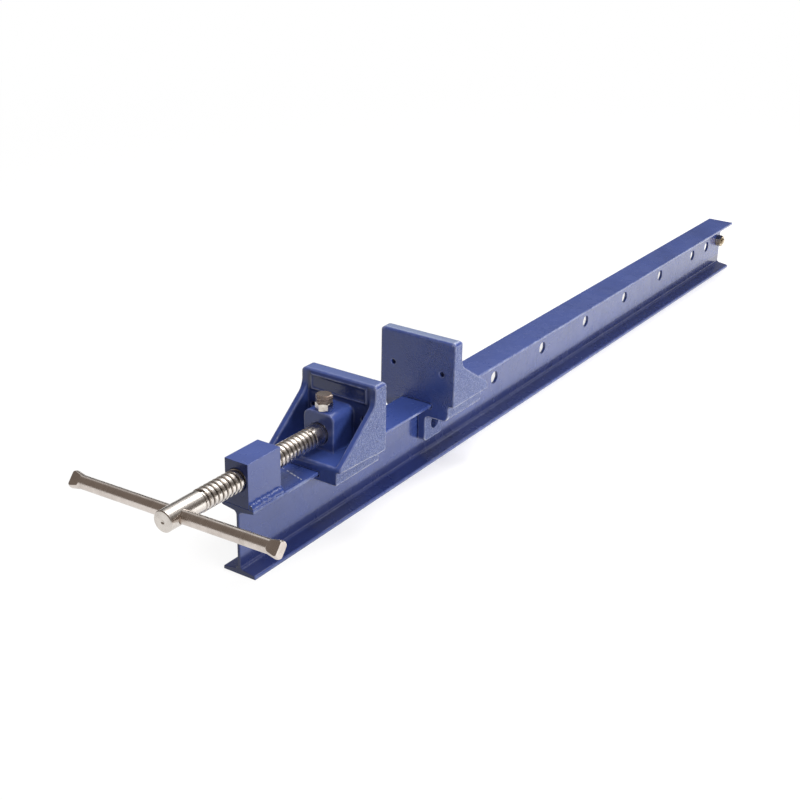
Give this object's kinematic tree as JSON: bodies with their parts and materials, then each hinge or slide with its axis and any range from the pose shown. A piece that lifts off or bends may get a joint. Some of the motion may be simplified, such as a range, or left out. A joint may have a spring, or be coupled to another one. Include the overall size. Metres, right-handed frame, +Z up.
{
  "type": "bar clamp",
  "caption": "Heavy bar clamp on a steel I-section bar, with a cast jaw pushed by a tommy-bar screw and a cast tail jaw pinned along the web.",
  "frame": {"origin": "middle of the bar's underside", "axes": "+X along the bar away from the screw's handle, +Z up from the underside towards the jaws, +Y to the side that the locating pin is put in from"},
  "size_m": [1.3865, 0.2644, 0.163],
  "materials": {
    "bar_enamel": "glossy deep blue enamel on rolled steel",
    "jaw_enamel": "glossy deep blue enamel over a pebbly casting",
    "bright_steel": "turned bright steel",
    "plated_bolt": "yellow-passivated zinc",
    "pin_steel": "turned steel, slightly dull"
  },
  "bodies": {
    "frame": {"bar": "bar_enamel", "nut_block": "bar_enamel", "near_side_weld": "bar_enamel", "far_side_weld": "bar_enamel", "rear_weld": "bar_enamel", "stop_bolt": "plated_bolt", "stop_nut": "plated_bolt"},
    "moving_jaw": {"moving_jaw": "jaw_enamel", "set_bolt": "plated_bolt", "lock_nut": "plated_bolt"},
    "screw": {"screw": "bright_steel"},
    "tommy_bar": {"tommy_bar": "bright_steel"},
    "tail_jaw": {"tail_jaw": "jaw_enamel"},
    "locating_pin": {"locating_pin": "pin_steel"}
  },
  "joints": [
    {"name": "jaw_slide", "type": "slide", "parent": "frame", "child": "moving_jaw", "axis": [1, 0, 0], "range_m": [-0.044, 0.0473]},
    {"name": "screw_turn", "type": "hinge", "parent": "moving_jaw", "child": "screw", "pos_m": [-0.4945, 0, 0.109], "axis": [1, 0, 0], "range_deg": [-2430, 2610]},
    {"name": "tommy_slide", "type": "slide", "parent": "screw", "child": "tommy_bar", "axis": [0, 0.9996, -0.0297], "range_m": [-0.111, 0.101]},
    {"name": "tail_slide", "type": "slide", "parent": "frame", "child": "tail_jaw", "axis": [1, 0, 0], "range_m": [0, 0.871]},
    {"name": "pin_slide", "type": "slide", "parent": "tail_jaw", "child": "locating_pin", "axis": [0, -1, 0], "range_m": [0, 0.017]}
  ],
  "couplings": [
    {"joint": "jaw_slide", "follows": "screw_turn", "m_per_rad": 0.0010345}
  ]
}
